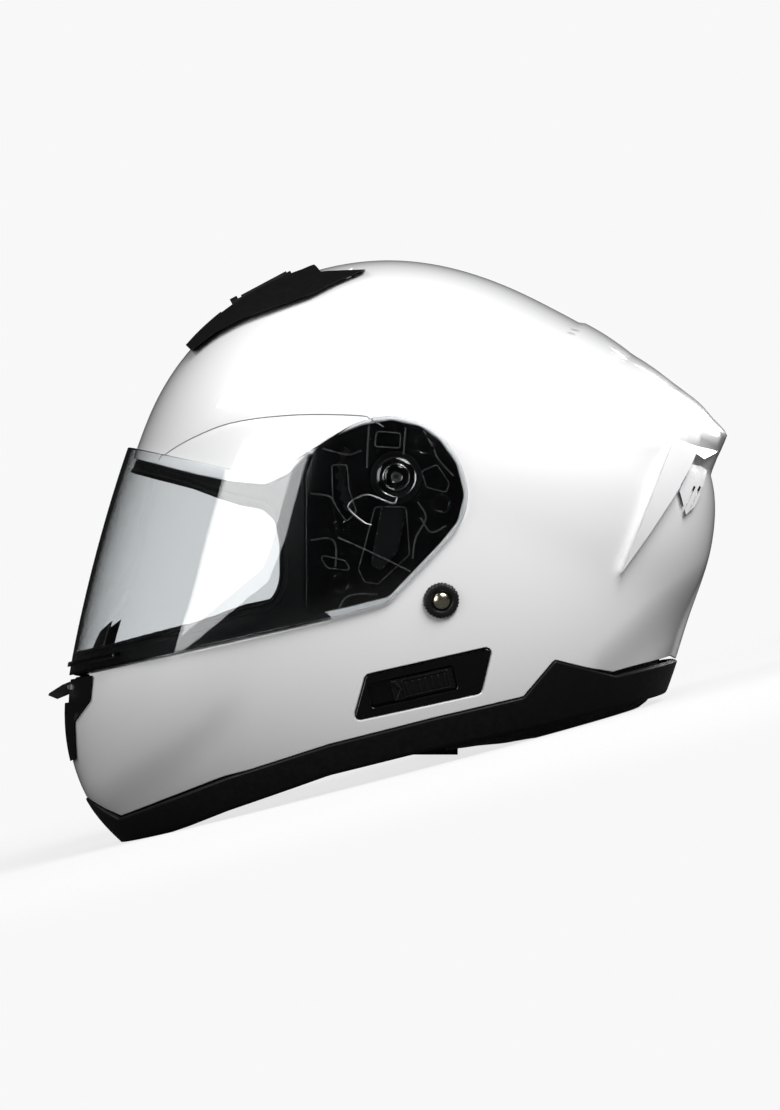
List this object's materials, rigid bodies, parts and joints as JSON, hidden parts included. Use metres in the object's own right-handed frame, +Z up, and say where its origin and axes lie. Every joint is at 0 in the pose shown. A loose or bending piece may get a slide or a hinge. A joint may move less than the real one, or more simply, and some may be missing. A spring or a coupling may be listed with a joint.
{
  "type": "full-face motorcycle helmet",
  "caption": "White full-face helmet with a clear hinged visor, drop-down sun visor, sliding top vent, chin vent flap, padded liner and ratchet chin strap.",
  "frame": {"origin": "centre of the bounding box at the surface the helmet stands on", "axes": "+Z up as it stands on its chin rim and neck roll, -Y out of the face opening, +X to the wearer's left"},
  "size_m": [0.2608, 0.367, 0.2594],
  "materials": {
    "shell_paint": "gloss",
    "rim_trim": "matte",
    "gasket_rubber": "satin",
    "gloss_black": "satin",
    "matte_black": "matte",
    "inlet_grey": "satin",
    "grille_white": "satin",
    "clear_visor": "gloss",
    "visor_tab": "gloss",
    "sun_tint": "gloss",
    "foam": "matte",
    "liner_fabric": "matte",
    "webbing": "matte",
    "steel": "satin",
    "red_plastic": "satin"
  },
  "bodies": {
    "helmet": {"base_screws_left": "steel", "base_screws_right": "steel", "base_trim": "rim_trim", "breath_guard": "matte_black", "brow_inlet": "inlet_grey", "buckle_frame": "matte_black", "buckle_pin": "steel", "cheek_pad_left": "liner_fabric", "cheek_pad_right": "liner_fabric", "chin_curtain": "liner_fabric", "chin_vent_body": "gloss_black", "crown_pad": "liner_fabric", "detent_quadrant_left": "matte_black", "detent_quadrant_right": "matte_black", "eps_chin_block": "foam", "eps_liner": "foam", "exhaust_grille_left": "grille_white", "exhaust_grille_right": "grille_white", "eyeport_gasket": "gasket_rubber", "flap_pins": "steel", "hub_screw_left": "steel", "hub_screw_right": "steel", "neck_roll": "liner_fabric", "outer_shell": "shell_paint", "ratchet_tongue": "matte_black", "rear_fin": "shell_paint", "rivet_washer_left": "matte_black", "rivet_washer_right": "matte_black", "side_panel": "gloss_black", "strap_anchor_left": "steel", "strap_anchor_right": "steel", "strap_left": "webbing", "strap_right": "webbing", "strap_rivet_left": "steel", "strap_rivet_right": "steel", "strap_sleeve": "matte_black", "sun_visor_pin_left": "steel", "sun_visor_pin_right": "steel", "top_vent_base": "gloss_black", "visor_base_left": "matte_black", "visor_base_right": "matte_black", "visor_hub_left": "clear_visor", "visor_hub_right": "clear_visor"},
    "visor": {"visor": "clear_visor", "visor_lift_tab": "visor_tab"},
    "sun_visor": {"sun_visor": "sun_tint"},
    "sun_slider": {"sun_slider": "matte_black"},
    "top_vent_slider": {"top_vent_slider": "matte_black"},
    "chin_vent_flap": {"chin_vent_flap": "matte_black"},
    "release_lever_left": {"release_lever_left": "matte_black"},
    "release_lever_right": {"release_lever_right": "matte_black"},
    "buckle_lever": {"buckle_lever": "red_plastic"}
  },
  "joints": [
    {"name": "visor_hinge", "type": "hinge", "parent": "helmet", "child": "visor", "pos_m": [0, 0.01453, 0.1426], "axis": [-1, 0, 0], "range_deg": [0, 52]},
    {"name": "sun_visor_hinge", "type": "hinge", "parent": "helmet", "child": "sun_visor", "pos_m": [0, 0.01453, 0.1426], "axis": [1, 0, 0], "range_deg": [0, 34]},
    {"name": "sun_slide", "type": "slide", "parent": "helmet", "child": "sun_slider", "axis": [0.0331, -0.9986, 0.0424], "range_m": [0, 0.011]},
    {"name": "top_vent_slide", "type": "slide", "parent": "helmet", "child": "top_vent_slider", "axis": [0, 0.9732, 0.23], "range_m": [0, 0.009]},
    {"name": "chin_vent_hinge", "type": "hinge", "parent": "helmet", "child": "chin_vent_flap", "pos_m": [0, -0.17171, 0.08291], "axis": [-1, 0, 0], "range_deg": [0, 25]},
    {"name": "release_left_hinge", "type": "hinge", "parent": "helmet", "child": "release_lever_left", "pos_m": [0, 0.01453, 0.1426], "axis": [-1, 0, 0], "range_deg": [0, 5], "stiffness_Nm_per_rad": 0.3, "springref_deg": -2.86},
    {"name": "release_right_hinge", "type": "hinge", "parent": "helmet", "child": "release_lever_right", "pos_m": [0, 0.01453, 0.1426], "axis": [-1, 0, 0], "range_deg": [0, 5], "stiffness_Nm_per_rad": 0.3, "springref_deg": -2.86},
    {"name": "buckle_hinge", "type": "hinge", "parent": "helmet", "child": "buckle_lever", "pos_m": [0.0205, -0.00161, 0.01016], "axis": [0, -0.9673, 0.2538], "range_deg": [0, 30], "stiffness_Nm_per_rad": 0.05, "springref_deg": -11.46}
  ],
  "couplings": [
    {"joint": "sun_slide", "follows": "sun_visor_hinge", "m_per_rad": 0.018527}
  ]
}
